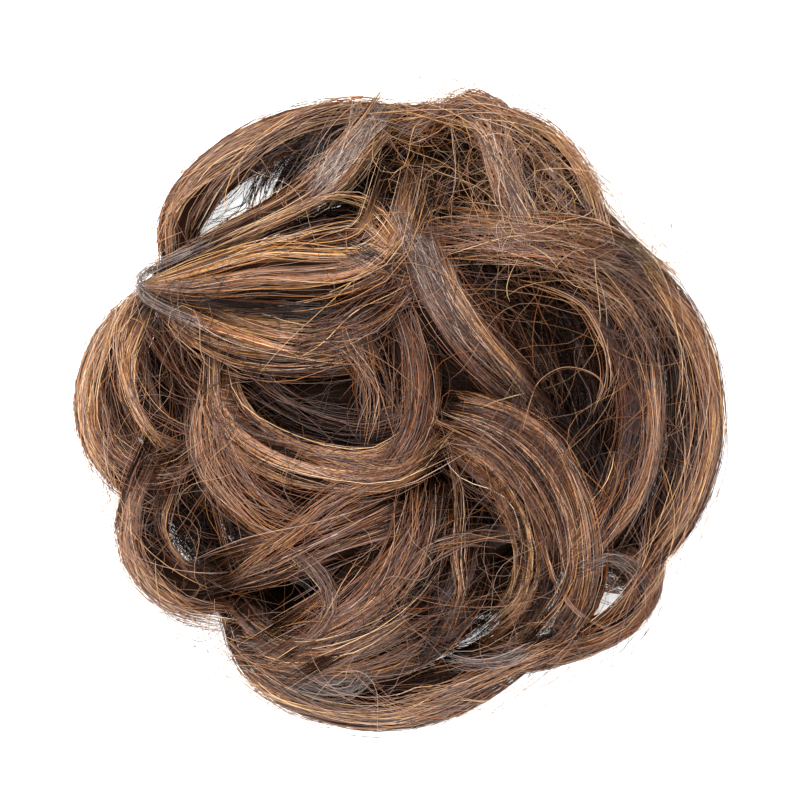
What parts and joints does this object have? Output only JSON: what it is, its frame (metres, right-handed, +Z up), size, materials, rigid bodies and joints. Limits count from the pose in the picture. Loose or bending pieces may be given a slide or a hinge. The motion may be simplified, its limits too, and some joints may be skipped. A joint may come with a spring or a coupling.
{
  "type": "top knot hairpiece",
  "caption": "Round messy bun of curled false hair on an elastic band, worn over a knot of the wearer's own hair",
  "frame": {"origin": "Under the middle of the bun's outline, at the height of the surface that it lies on", "axes": "+Z up, away from the wearer's head; +Y towards the small upright loop at the top edge; +X to the right seen from above"},
  "size_m": [0.1506, 0.148, 0.0548],
  "materials": {
    "hair_deep": "fine hair fibre, in shade",
    "hair_dark": "fine hair fibre, dark brown",
    "hair_brown": "fine hair fibre, medium brown, soft sheen",
    "hair_warm": "fine hair fibre, warm brown, soft sheen",
    "sewn_weft": "sewn rows of hair roots",
    "elastic_cord": "woven cover, dull"
  },
  "bodies": {
    "root": {"elastic_band": "elastic_cord", "weft_base": "sewn_weft", "bed_right": "hair_deep", "bed_top": "hair_deep", "bed_left": "hair_deep", "bed_bottom": "hair_deep", "bed_lower_right": "hair_deep", "bed_crown_back": "hair_deep", "bed_crown_front": "hair_deep", "bed_crown_middle": "hair_deep", "rim_left": "hair_brown", "rim_lower_left": "hair_brown", "rim_bottom": "hair_brown", "rim_lower_right": "hair_brown", "rim_right": "hair_brown", "rim_upper_left": "hair_brown", "rim_top": "hair_warm", "rim_upper_right": "hair_warm", "shoulder_upper_right": "hair_brown", "shadow_upper_left": "hair_deep", "curl_lower_right": "hair_warm", "crescent_right": "hair_dark", "funnel_right": "hair_brown", "inner_rim_left": "hair_warm", "curl_lower_left": "hair_dark", "sweep_bottom": "hair_warm", "tangle_bottom": "hair_dark", "tangle_top": "hair_warm", "shoulder_right": "hair_brown", "top_knot_lock": "hair_warm", "centre_fall": "hair_brown", "centre_shade": "hair_dark", "comma_inner": "hair_warm", "comma_outer": "hair_warm", "centre_diagonal": "hair_warm", "swirl_outer": "hair_warm", "cross_lower_left": "hair_warm", "sheaf_lower": "hair_warm", "centre_wall": "hair_brown", "swirl_inner": "hair_warm", "sheaf_middle": "hair_warm", "sheaf_upper": "hair_warm"}
  },
  "joints": []
}
